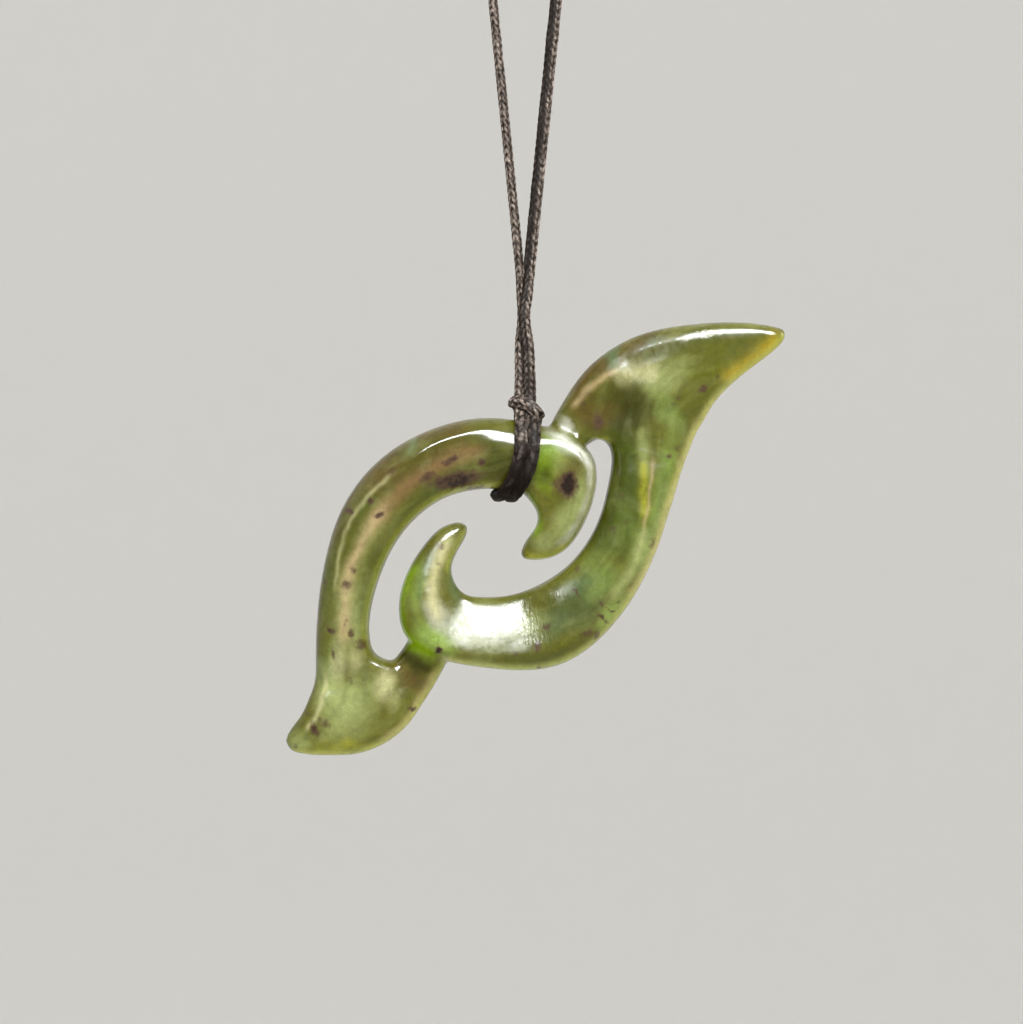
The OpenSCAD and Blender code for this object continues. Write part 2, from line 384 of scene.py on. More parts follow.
def braid_height(turn, phase, slant):
    """Height of the yarns, from 0 in the gaps to 1 on the crests, and a share from 0 to 1 for each stroke."""
    column = turn * BRAID_COLUMNS
    across = column - np.floor(column)
    lean = np.where(np.floor(column) % 2 == 0, 1.0, -1.0)
    stroke = phase + lean * slant * (across - 0.5) + 0.5 * (np.floor(column) // 2 % 2)
    crest = np.abs(np.sin(math.pi * stroke)) ** STROKE_FULLNESS[0]
    yarn = np.sin(HASH[0] * np.floor(stroke) + HASH[1] * np.floor(column)) * HASH[2] % 1
    return crest * np.sin(math.pi * across) ** STROKE_FULLNESS[1], yarn


def painted_cord_light(at, known_at, total, height_here, pulled, to_right):
    """Painted light and shade at each point of the cord: the right strand and the legs over the stone are
    painted darker.
    """
    knot = known_at[4]
    right = known_at[8]
    places = [0, 8, known_at[3], knot, knot + 2, *known_at[5:8], right, right + 60, total - 60]
    pale = np.interp(at, places, CORD_PAINTED_LIGHT)
    pale = pale * (1 - pulled * (0.80 - 0.52 * smooth_step(height_here, 6.5, 12.5)))
    # The right strand's right side is painted lighter, as if lit from the right
    lit_right_side = smooth_step(at, known_at[7], right) * (1 - smooth_step(at, right + 60, total - 60))
    return pale[:, None] * (1 + lit_right_side[:, None] * (RIGHT_SIDE_PAINTED_LIGHT * smooth_step(to_right, 0.1, 0.55) - 0.15))


def make_cord():
    at, middle, relief, total, known_at = cord_line()
    tangent, width, depth = cord_frames(middle, at, known_at)
    turn = (np.arange(CORD_SIDES) + 0.5) / CORD_SIDES
    across = np.cos(2 * math.pi * turn)[None, :]
    through = np.sin(2 * math.pi * turn)[None, :]
    height_here = middle[:, 2] - STONE_Z
    low, high = PULLED_HEIGHTS
    pulled = smooth_step(high - height_here, 0, 1.2) * smooth_step(height_here - low, 0, 1)
    pitch = STROKE_PITCH * (1 + PULLED_LONGER * pulled)
    phase = np.cumsum(np.diff(at, prepend=at[0]) / pitch)
    waves = np.array([noise.noise((0, s * 0.6, 3)) for s in at])
    drift = np.array([noise.noise((5, s * 0.25, 1)) for s in at])
    turned = (turn[None, :] + COLUMN_DRIFT * drift[:, None]) % 1
    slant = STROKE_SLANT * (1 - PULLED_LEANS_LESS * pulled[:, None]) * np.ones((1, CORD_SIDES))
    stagger = np.array([[COLUMN_STAGGER * noise.noise((s * 0.8, 7 * column, 2))
                         for column in range(BRAID_COLUMNS)] for s in at])
    columns = np.floor(turned * BRAID_COLUMNS).astype(int)
    height, yarn = braid_height(turned, phase[:, None] + np.take_along_axis(stagger, columns, 1), slant)
    to_right = across * width[:, None, 0] + through * depth[:, None, 0]
    # Each stroke's own share of tone, times the painted light and shade along the cord; the material paints
    # the lit crests from it
    yarn = (0.55 + 0.45 * yarn) * painted_cord_light(at, known_at, total, height_here, pulled, to_right)
    grow = 1 + GIRTH_WAVES * waves[:, None] + (relief[:, None] * BRAID_RELIEF) * (height - BRAID_MEAN)
    flat = (pulled * smooth_step(height_here - 5.0, 0, 2))[:, None]
    x = across * CORD_WIDTH / 2 * grow * (1 + PULLED_WIDER * flat)
    y = through * CORD_THICKNESS / 2 * grow * (1 - PULLED_THINNER * flat)
    points = middle[:, None, :] + x[..., None] * width[:, None, :] + y[..., None] * depth[:, None, :]
    cord = link_mesh("neck_cord_braided", points.reshape(-1, 3) * MM, tube_faces(len(at), CORD_SIDES))
    store(cord, "braid", height.ravel())
    store(cord, "yarn", yarn.ravel())
    cord.data.materials.append(cord_material())
    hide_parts("cord_hitch", "neck_cord")
    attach(cord, "cord")
    make_fuzz(middle, width, depth, tangent)


# Loose fibres: how many, the heights between which they grow, their lengths, and their thickness. The tuft's
# place and its fibres' lengths. Heights and places are in the stone's frame.
FUZZ_HAIRS = 70
FUZZ_HEIGHTS = (13.5, 57)
FUZZ_LENGTHS = (0.15, 0.5)
FUZZ_RADIUS = 0.016
FUZZ_STEPS = 5
FUZZ_COLOUR = (0.20, 0.16, 0.13)
TUFT = (-2.1, 26.3)
TUFT_LENGTHS = (0.35, 0.8)

# Fibres start inside the cord, at this share of its width or thickness from its middle
FUZZ_ROOT = 0.46


def make_fuzz(middle, width, depth, tangent):
    """Fine loose fibres that stand off the cord, with one small tuft of them where the strands meet."""
    luck = np.random.default_rng(7)
    near = np.flatnonzero(middle[:, 2] > STONE_Z + FUZZ_HEIGHTS[0])
    near = near[middle[near, 2] < STONE_Z + FUZZ_HEIGHTS[1]]
    from_tuft = np.hypot(middle[:, 0] - STONE_X - TUFT[0], middle[:, 2] - STONE_Z - TUFT[1])
    tuft_at = int(np.argmin(from_tuft))
    picks = [(int(luck.choice(near)), luck.uniform(0, 2 * math.pi), luck.uniform(*FUZZ_LENGTHS))
             for _ in range(FUZZ_HAIRS)]
    picks += [(tuft_at + k, math.pi + luck.uniform(-0.7, 0.7), luck.uniform(*TUFT_LENGTHS))
              for k in range(-3, 4)]
    points, faces = [], []
    for ring, angle, length in picks:
        out = width[ring] * math.cos(angle) + depth[ring] * math.sin(angle)
        root = middle[ring] + width[ring] * math.cos(angle) * CORD_WIDTH * FUZZ_ROOT
        root = root + depth[ring] * math.sin(angle) * CORD_THICKNESS * FUZZ_ROOT
        bend = tangent[ring] * luck.uniform(-1, 1) + np.array([0, 0, -0.4])
        start = len(points)
        for i in range(FUZZ_STEPS):
            t = i / (FUZZ_STEPS - 1)
            centre = root + length * (out * t * (1 - 0.4 * t) + bend * t * t * 0.7)
            thin = FUZZ_RADIUS * (1 - 0.6 * t)
            for k in range(3):
                a = 2 * math.pi * k / 3
                way = tangent[ring] * math.cos(a) + np.cross(out, tangent[ring]) * math.sin(a)
                points.append((centre + thin * way) * MM)
        faces += [[start + c for c in face] for face in tube_faces(FUZZ_STEPS, 3, closed=False)]
    fuzz = link_mesh("cord_fuzz", points, faces)
    material, nodes, shader = new_material("loose_fibres")
    nodes.fill(shader, Base_Color=FUZZ_COLOUR, Roughness=0.6)
    fuzz.data.materials.append(material)
    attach(fuzz, "cord")


def store(obj, name, values):
    """Keeps one number for each point of obj's mesh."""
    attribute = obj.data.attributes.new(name, "FLOAT", "POINT")
    attribute.data.foreach_set("value", np.asarray(values, np.float32))


# Tones of the cord, and how fine its patches, its fluff and its fibres are, in waves to the metre. The
# darkest tone is painted shade in the gaps between the yarns, and the two palest are painted highlights and
# glints on their crests
CORD_TONES = {
    "gap": (0.01, 0.007, 0.005),
    "brown": (0.012, 0.008, 0.006),
    "grey": (0.15, 0.12, 0.1),
    "warm": (0.4, 0.325, 0.275),
    "worn_and_glint": (0.7, 0.61, 0.54),
}
CORD_PATCHES = 700
CORD_FLUFF = 2600
CORD_FIBRES = 9000


def cord_material():
    material, nodes, shader = new_material("waxed_braid")
    where = nodes.place()
    patches = nodes.noise(where, CORD_PATCHES, 3)
    fluff = nodes.ramp(nodes.noise(where, CORD_FLUFF, 3, 0.6), 0.3, 0.7)
    braid = nodes.times(nodes.attribute("braid"), 0.66)
    crest = nodes.math("ADD", braid, nodes.times(fluff, 0.42))
    fibres = nodes.noise(where, CORD_FIBRES, 3)
    yarn = nodes.ramp(nodes.attribute("yarn"), 0.1, 1.1)
    body = nodes.mix(yarn, CORD_TONES["brown"], CORD_TONES["grey"])
    # Painted shade: the gaps between the yarns are painted darker than their crests
    colour = nodes.mix(nodes.ramp(crest, 0.25, 0.95), CORD_TONES["gap"], body)
    # Painted highlights: the lit crests are painted warm and pale, more where the painted light along the
    # cord is strong
    lit = nodes.times(nodes.ramp(crest, 0.55, 1.0), yarn)
    lit = nodes.times(lit, nodes.ramp(patches, 0.35, 0.65, 0.2, 0.8))
    colour = nodes.mix(lit, colour, CORD_TONES["warm"])
    # Painted glints: fine bright fibres on the lit crests
    painted_glint = nodes.times(nodes.ramp(fibres, 0.5, 0.72), nodes.times(nodes.ramp(crest, 0.6, 1.0), yarn))
    painted_glint = nodes.times(painted_glint, nodes.ramp(patches, 0.4, 0.65, 0.2, 0.9))
    colour = nodes.mix(painted_glint, colour, CORD_TONES["worn_and_glint"])
    nodes.fill(shader, Base_Color=colour, Roughness=nodes.ramp(patches, 0.3, 0.7, 0.42, 0.62),
               Specular_IOR_Level=0.04, Normal=nodes.bump(fibres, 0.6, 0.00005))
    return material


make_cord()


# Stone

def smoothed(points, edges, rounds):
    """The points after some rounds of moving each one half way to the middle of its neighbours."""
    count = np.bincount(edges.ravel(), minlength=len(points))
    first, second = edges[:, 0], edges[:, 1]
    for _ in range(rounds):
        total = np.stack([np.bincount(first, points[second, k], len(points))
                          + np.bincount(second, points[first, k], len(points)) for k in range(3)], 1)
        points = points / 2 + total / count[:, None] / 2
    return points


# The stone's mesh: the size of its even faces, the rounds that smooth out the solid's facets, how near its
# doubled points are in metres, and the rounds that follow the carving
FACE_SIZE = 0.19
FACET_ROUNDS = 22
SAME_POINT = 0.000002
LAST_ROUNDS = 3


def stone_base():
    """The carved solid as a fine even mesh in the stone's frame, with its facets smoothed out."""
    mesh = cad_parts["pendant"].data.copy()
    body = bmesh.new()
    body.from_mesh(mesh)
    bmesh.ops.remove_doubles(body, verts=body.verts, dist=SAME_POINT)
    body.to_mesh(mesh)
    body.free()
    points = read_points(mesh) / MM - (STONE_X, 0, STONE_Z)
    mesh.vertices.foreach_set("co", points.astype(np.float32).ravel())
    obj = add_object("stone_base", mesh)
    remesh = obj.modifiers.new("even", "REMESH")
    remesh.mode = "VOXEL"
    remesh.voxel_size = FACE_SIZE
    evaluated = obj.evaluated_get(bpy.context.evaluated_depsgraph_get())
    fine = bpy.data.meshes.new_from_object(evaluated)
    bpy.data.objects.remove(obj)
    points = read_points(fine)
    edges = np.zeros(len(fine.edges) * 2, np.int32)
    fine.edges.foreach_get("vertices", edges)
    edges = edges.reshape(-1, 2)
    soft = smoothed(points, edges, FACET_ROUNDS)
    # Adding back what the smoothing took off keeps the stone from shrinking
    points = soft + smoothed(points - soft, edges, FACET_ROUNDS)
    faces = [tuple(p.vertices) for p in fine.polygons]
    bpy.data.meshes.remove(fine)
    return points, edges, faces


def read_points(mesh):
    flat = np.zeros(len(mesh.vertices) * 3)
    mesh.vertices.foreach_get("co", flat)
    return flat.reshape(-1, 3)


def normals_of(points, faces):
    """Unit normals at the points of a mesh of quads."""
    quads = np.array(faces)
    a, b, c, d = (points[quads[:, k]] for k in range(4))
    face_normal = np.cross(c - a, d - b)
    total = np.stack([sum(np.bincount(quads[:, j], face_normal[:, k], len(points)) for j in range(4))
                      for k in range(3)], 1)
    return total / np.linalg.norm(total, axis=1)[:, None]


def near_line(x, z, line):
    """Each point's distance from a drawn line, its side (+1 left of the run) and how far along it lies."""
    line = np.array(line, float)
    starts, ends = line[:-1], line[1:]
    lengths = np.linalg.norm(ends - starts, axis=1)
    before = np.concatenate([[0], np.cumsum(lengths)[:-1]])
    best = np.full(len(x), 1e9)
    side, share = np.zeros(len(x)), np.zeros(len(x))
    for a, b, length, so_far in zip(starts, ends, lengths, before):
        run = (b - a) / length
        t = np.clip((x - a[0]) * run[0] + (z - a[1]) * run[1], 0, length)
        dx, dz = x - a[0] - t * run[0], z - a[1] - t * run[1]
        d = np.hypot(dx, dz)
        closer = d < best
        best = np.where(closer, d, best)
        side = np.where(closer, np.sign(run[0] * dz - run[1] * dx), side)
        share = np.where(closer, (so_far + t) / lengths.sum(), share)
    return best, side, share


def rounded_line(line):
    """A drawn line with its corners rounded into a smooth curve."""
    return spline([(px, 0, pz) for px, pz in line], spacing=0.4)[:, [0, 2]]


# Soft ridges of the carving: height, reach to the left and to the right of the line's run, and the line.
# A negative height is a valley.
RIDGES = {
    "arm_outer": (0.38, 1.6, 1.1, [(-2, 10.9), (-4.7, 10.9), (-8.1, 10.2), (-10.8, 9.1), (-13.8, 7),
        (-16.8, 4.2), (-18.4, 1.9), (-19.2, 0.1), (-19.8, -2.6), (-20.2, -6.2), (-20.5, -10.2),
        (-20.9, -12.8), (-21.2, -15), (-21.8, -17), (-22.5, -18.4), (-23.5, -19.7)]),
    "arm_top": (0.14, 1.6, 1.3, [(-2, 10.95), (-5, 10.9), (-8.1, 10.2), (-10.8, 9.1), (-13.8, 7)]),
    "shoulder_rim": (0.45, 2, 2, [(-0.6, 10.6), (0.9, 10.3), (2.5, 9.8), (3.9, 8.8), (4.8, 7.4), (5, 5.3),
        (4.5, 3.3), (3.5, 1.3), (2.1, -0.4), (0.4, -1.3)]),
    "right_band": (0.14, 0.6, 0.8, [(19.6, 16.1), (17.3, 14.1), (15.6, 11.6), (14.5, 9), (13.7, 6.2),
        (13, 4), (12.3, 1.6), (11.3, -1.2), (10.6, -2.8), (9.3, -4.9), (8.2, -6.6)]),
    "wedge_ridge": (0.18, 1.4, 1.2, [(11.5, 7.4), (11.4, 5.3), (11, 3.6), (10.8, 2.3), (10.6, 0.6),
        (10.1, -0.9), (9.3, -2.8), (8.1, -4.8), (7.1, -6.4), (5.5, -7.8)]),
    "wedge_valley": (-0.16, 0.9, 1.1, [(9.6, 9.9), (9.7, 8.1), (9.9, 6.6), (10.1, 4.9), (10.3, 3.4),
        (10.6, 1.6)]),
    "fin_crest": (0.55, 1.5, 2.6, [(2.6, 11.4), (4.1, 13.7), (5.6, 15.1), (7.5, 16.4), (9.6, 17.7)]),
    "fin_edge": (0.34, 1.2, 1.3, [(8.2, 17.6), (9.2, 18.2), (10.5, 18.9), (12, 19.35), (13.6, 19.75),
        (15.4, 20.1)]),
    "fin_bevel": (0.14, 0.7, 1, [(14.6, 20.7), (18.3, 21.15), (21.3, 21.2), (24.2, 20.8)]),
    "low_rim": (0.24, 1.5, 1.1, [(-12.7, -8), (-12.5, -9.4), (-11.6, -10.7), (-10, -11.3), (-6.7, -11.6),
        (-2.7, -11.7), (1.3, -11.3), (3.8, -10.4), (5.8, -9.1), (7.5, -7.4)]),
    "hook_crest": (0.2, 1.2, 1.2, [(-9.2, -0.9), (-9.8, -2), (-10.1, -3.7), (-10.2, -5.7), (-10, -7.6),
        (-9.3, -9.2), (-8, -10.6)]),
    "left_fin_band": (0.12, 0.7, 0.7, [(-9.9, -12.6), (-11.3, -14.9), (-12.7, -17.2), (-14.2, -18.7),
        (-16, -19.8), (-18.3, -20.5), (-20.6, -20.8)]),
}

# An oval is the x and z of its middle, its half lengths along and across, and its turn in degrees, if any.
# Hollows: depth and oval. A negative depth fills.
HOLLOWS = {
    "fin_foot": (-0.78, 12, 10.4, 5, 3, -12),
    "fin_foot_top": (-0.26, 11.4, 13.7, 4.2, 2.6, -12),
    "left_fin": (0.32, -12.6, -13.8, 4, 3, -38),
    "left_fin_face": (0.18, -18.2, -17.4, 4.4, 2.6, 48),
    "root_notch": (0.35, 2.9, 11, 1.6, 0.9, -35),
}

# Flat cuts across the front: how far in front of the middle plane each lies at its middle, the degrees it
# leans back towards its top and its right, how round it is across (one over the radius), how far its edge is
# rounded, and its oval
CUTS = {
    "lower_arm": (2.45, 21, 0, 0.03, 1.9, -4.4, -8.3, 6.4, 5.6, -6),
    "hook": (2.1, 10, 14, 0, 0.6, -8.6, -5, 4.6, 2.4, 96),
    "shoulder": (2.55, -3, -4, 0, 0.6, 1.6, 5, 5, 3.2, -75),
}

# The sections' shoulders are filled out by this much, most at this distance inside the outline
RIM_FILL = 0.30
RIM_FILL_AT = 0.9

# Ridges: how much of the height is in the sharp peak, and the shares of the run over which the ends fade
RIDGE_PEAK = 0.6
RIDGE_FADES = (0.3, 0.2)

# The back's relief is this share of the front's
BACK_RELIEF = 0.7

# Where the hitch lies over the curl: the rim is not filled out there, for the cord to lie clear of the stone
HITCH_PLACE = (-1.9, 9.5)
HITCH_CLEAR = 5.6
HITCH_FADE = 3.4


def in_oval(x, z, middle_x, middle_z, along, across, turn=0, margin=0):
    """How far out in an oval each point lies: 0 at its middle and 1 on its edge."""
    c, s = math.cos(math.radians(turn)), math.sin(math.radians(turn))
    dx, dz = x - middle_x, z - middle_z
    return np.hypot((dx * c + dz * s) / (along + margin), (dz * c - dx * s) / (across + margin))


def carving(x, z):
    """How far the carved relief lifts the face at each point, in millimetres."""
    lift = np.zeros(len(x))
    for height, left, right, line in RIDGES.values():
        d, side, share = near_line(x, z, rounded_line(line))
        reach = np.where(side > 0, left, right)
        tent = np.clip(1 - np.sqrt(d * d + 0.01) / reach, 0, 1)
        ends = smooth_step(share, 0, RIDGE_FADES[0]) * smooth_step(1 - share, 0, RIDGE_FADES[1])
        lift += height * tent * (1 - RIDGE_PEAK + RIDGE_PEAK * tent) * ends
    for depth, *oval in HOLLOWS.values():
        q = np.clip(in_oval(x, z, *oval), 0, 1)
        lift -= depth * (1 - q * q) ** 2
    return lift


def rim_distance(points, normal):
    """How far inside the stone's outline each point lies, seen from the front."""
    rim = np.flatnonzero(np.abs(normal[:, 1]) < 0.12)
    tree = KDTree(len(rim))
    for i in rim:
        tree.insert((points[i, 0], points[i, 2], 0), int(i))
    tree.balance()
    return np.array([tree.find((p[0], p[2], 0))[2] for p in points])


def flat_cut(points, front):
    """Cuts the front's flat faces, with a softly rounded edge where each one starts."""
    x, z = points[:, 0], points[:, 2]
    for depth, lean_up, lean_right, round_across, soft, *oval in CUTS.values():
        y = -points[:, 1]
        from_x, from_z = x - oval[0], z - oval[1]
        plane = depth - math.tan(math.radians(lean_up)) * from_z
        plane -= math.tan(math.radians(lean_right)) * from_x + round_across * from_x ** 2 / 2
        share = np.clip(0.5 + 0.5 * (plane - y) / soft, 0, 1)
        cut = plane + (y - plane) * share - soft * share * (1 - share)
        mask = smooth_step(1.1 - in_oval(x, z, *oval), 0, 0.65) * front
        points[:, 1] = -(y + (cut - y) * mask)


def make_stone():
    points, edges, faces = stone_base()
    normal = normals_of(points, faces)
    x, z = points[:, 0], points[:, 2]
    facing = smooth_step(np.abs(normal[:, 1]), 0.15, 0.6)
    side_share = np.where(normal[:, 1] > 0, BACK_RELIEF, 1.0)
    rim = rim_distance(points, normal)
    depth = rim / RIM_FILL_AT
    from_hitch = np.hypot(x - HITCH_PLACE[0], z - HITCH_PLACE[1])
    under_cord = smooth_step(HITCH_CLEAR - from_hitch, 0, HITCH_FADE)
    fill = RIM_FILL * depth * np.exp(1 - depth) * (1 - under_cord)
    lift = fill * smooth_step(np.abs(normal[:, 1]), 0.0, 0.3) + carving(x, z) * facing * side_share
    points[:, 1] += np.sign(normal[:, 1]) * lift
    flat_cut(points, smooth_step(-normal[:, 1], 0.1, 0.4))
    points = smoothed(points, edges, LAST_ROUNDS)
    placed = (points + (STONE_X, 0, STONE_Z)) * MM
    stone = link_mesh("koru_stone", placed, faces)
    paint(stone, points, normal, rim)
    stone.data.materials.append(stone_material())
    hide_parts("pendant")
    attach(stone, "stone")


# Tones of the stone, as the share of red, green and blue light that it gives back. Three of them paint light
# into the colour: the lime and glow tones are painted glow where the stone is thin, and the palest tone is
# painted highlight
TONES = {
    "olive": (0.125, 0.125, 0.018),
    "deep": (0.046, 0.046, 0.001),
    "forest": (0.062, 0.084, 0.003),
    "moss": (0.115, 0.125, 0.01),
    "leaf": (0.17, 0.235, 0.055),
    # Painted glow where the stone is thin
    "lime_glow": (0.22, 0.34, 0.008),
    "fresh": (0.31, 0.44, 0.11),
    "sage": (0.088, 0.108, 0.036),
    "milky": (0.305, 0.345, 0.135),
    "cream": (0.52, 0.5, 0.27),
    "tan": (0.43, 0.34, 0.18),
    "clay": (0.21, 0.135, 0.055),
    "straw": (0.33, 0.33, 0.035),
    "amber": (0.4, 0.31, 0.025),
    "bark": (0.11, 0.072, 0.015),
    "russet": (0.05, 0.03, 0.006),
    "plum": (0.08, 0.042, 0.026),
    "mist": (0.12, 0.172, 0.082),
    "umber": (0.012, 0.006, 0.004),
    # Painted highlight
    "painted_highlight": (0.59, 0.6, 0.5),
    "glow": (0.4, 0.42, 0.1),
}

# Broad streaks of tone that follow the arms: tone, strength, half width and the line
BANDS = [
    ("forest", 0.95, 2, [(9.4, 12.6), (8.7, 9.4), (8.5, 6), (8.2, 3), (7.2, 0.2), (5.8, -2)]),
    ("leaf", 0.8, 1, [(13.2, 10.6), (12.9, 7.4), (12.4, 4.5), (11.8, 2), (10.9, -1), (9, -4.4)]),
    ("bark", 0.85, 1, [(3.4, 13.4), (5, 16.1), (7.6, 18.2), (10.5, 19.7), (13.5, 20.5)]),
    ("moss", 0.8, 1.1, [(-7, -12), (-2, -12.5), (2, -12), (5.2, -10.4)]),
    ("sage", 0.7, 0.9, [(-16.9, -10.5), (-16.8, -7), (-15.9, -3.6), (-14.4, -0.2), (-12.4, 2.4),
        (-9.8, 4.6), (-7, 5.8)]),
    ("moss", 0.7, 0.8, [(-11.5, 10.9), (-15.3, 8.9), (-18.3, 6), (-20.6, 2.6), (-21.6, -1.5), (-21.8, -6),
        (-21.9, -10.5)]),
    ("bark", 0.85, 1.8, [(-5.5, 11.3), (-9.5, 10.9), (-12.6, 9.6), (-15.6, 7.4), (-18.4, 4.6), (-20.2, 1.4),
        (-21.2, -2.6)]),
    ("moss", 0.75, 1.2, [(-5.2, 5.8), (-8.4, 5.4), (-11.4, 3.4), (-13.6, 0.8), (-15.2, -2.6),
        (-16.4, -7.6)]),
    ("forest", 0.45, 2.6, [(-6, 9), (-11, 7.6), (-16, 3.6), (-19, -1), (-20.2, -7), (-20.6, -11)]),
    ("forest", 0.25, 2.4, [(8, 15.6), (12, 17.6), (17, 19), (22, 20)]),
    ("deep", 0.5, 1.2, [(7.6, 9), (7.7, 5.6), (7.2, 2.6), (6.2, 0), (4.8, -2.2)]),
]

# Broad clouds of tone, among them painted highlights, painted glow and painted shadow: tone, strength and
# oval
CLOUDS = [
    ("deep", 0.95, 8.9, 12.4, 4.6, 3, -70), ("milky", 0.72, 12.6, 15.8, 4.6, 2.6, 22),
    ("leaf", 0.7, 13.2, 12.2, 4, 1.8, -60), ("moss", 0.85, 18, 17.6, 4.2, 2.3, 30),
    ("mist", 0.85, 7.4, 18, 1.7, 0.8, 60), ("mist", 0.5, 11.6, 19.6, 2, 0.7, 25),
    ("bark", 0.7, 4.5, 13.4, 2.6, 1.7, 50), ("russet", 0.65, 5.9, 11.5, 1.5, 1.5),
    ("leaf", 0.5, 9.6, 0.2, 4.4, 2.2, -68), ("sage", 0.95, 4.3, -6.3, 4.8, 3.6, 42),
    ("leaf", 0.85, 6.2, -4.6, 3.2, 1.7, 45), ("mist", 0.6, 4.4, -4.4, 1.8, 1.3, 45),
    ("forest", 0.6, 8.3, 0, 3.2, 1.5, -68), ("bark", 0.9, 6.2, 12.2, 2.6, 2, 20),
    ("deep", 0.8, 10.4, 13.8, 3, 2, -60), ("moss", 0.8, 17.2, 17, 4.2, 1.8, 30),
    ("mist", 0.5, 1.8, -8.6, 2.6, 2.2, 30), ("fresh", 0.45, 7.6, -7.4, 3.4, 1.2, 50),
    # Painted highlight: the palest clouds here lie on the lower arm's broad highlight and on its fade towards
    # the hook
    ("milky", 0.7, -4, -8.6, 6.5, 3, 3), ("painted_highlight", 0.8, -4.6, -9, 4.4, 2.2, 3),
    ("fresh", 0.8, -10.2, -10, 3.2, 1.9, -35), ("painted_highlight", 0.5, -10, -7.8, 2.6, 1.4, -55),
    ("fresh", 0.5, -11.8, -5, 4.4, 1.2, 85), ("mist", 0.7, -8.4, -4.6, 3, 0.9, 96),
    # Painted highlight on the shoulder's rim, and painted glow on the shoulder beside the cord
    ("fresh", 0.95, 1.9, 8.6, 2.7, 2.3, -30), ("painted_highlight", 0.55, 2.8, 9, 2.2, 1, -38),
    ("milky", 0.7, 4.3, 4.4, 3.4, 1.6, 80), ("lime_glow", 0.8, 0.7, 6.6, 2.8, 1.6, -80),
    ("moss", 0.45, 2, 3.6, 2, 1.5, -70), ("milky", 0.55, 2.4, 1.6, 3.6, 1.6, 62),
    ("milky", 0.5, 0.8, -0.4, 2.6, 1.5, -20), ("deep", 0.9, -1.4, 6.6, 1.7, 2.6),
    ("deep", 0.95, -4.2, 7.8, 2.9, 2.7), ("bark", 0.85, -9, 8, 4.4, 2.2, 22),
    ("bark", 0.7, -15, 6.4, 3.4, 2.2, 42), ("olive", 0.6, -15.4, 1.4, 4.4, 1.6, 60),
    ("leaf", 0.5, 5.6, -2.4, 3.6, 2, 48), ("leaf", 0.45, -20.4, -12.6, 3.4, 1.8, 85),
    # Painted highlight in the groove at the right fin's root
    ("painted_highlight", 0.8, 2.7, 11.2, 1.4, 0.9, -40), ("clay", 0.4, 2.8, 7.4, 2.4, 1.5, -20),
    ("milky", 0.7, 3.4, 1.2, 2.4, 1.6, 70), ("deep", 0.8, 0.9, 6.2, 1.3, 1.6),
    ("milky", 0.25, -16.2, 0.8, 5.6, 2, 62), ("milky", 0.7, -18.6, -8, 5.6, 1.7, 88),
    ("milky", 0.9, -20.6, -14.2, 3.6, 1.7, 78), ("cream", 0.6, -19.8, -12.2, 2.6, 1.2, 88),
    ("milky", 0.9, -18.8, -16.8, 5, 3.8, 60), ("straw", 0.6, -19, -20.8, 5, 1.2),
    # Painted shadow: the bark and deep clouds in the left fin's hollow, where it passes behind the lower
    # curl's shoulder. Painted highlight: the cream cloud on the left fin's soft highlight
    ("moss", 0.7, -13.4, -16.6, 3, 1.6, -60), ("bark", 0.85, -12.6, -13.8, 3, 1.8, -35),
    ("deep", 0.95, -12, -12.3, 2, 1.2, -35), ("cream", 0.85, -15.1, -14.7, 2.2, 1.6, 80),
    ("cream", 0.5, -18, -12.2, 1.8, 1.2, 70), ("milky", 0.8, -24, -20.4, 2, 1.4, 20),
    ("cream", 0.3, -14, -16.2, 1.6, 0.8, 60), ("forest", 0.35, -7, 8.2, 6, 2.8, 18),
]
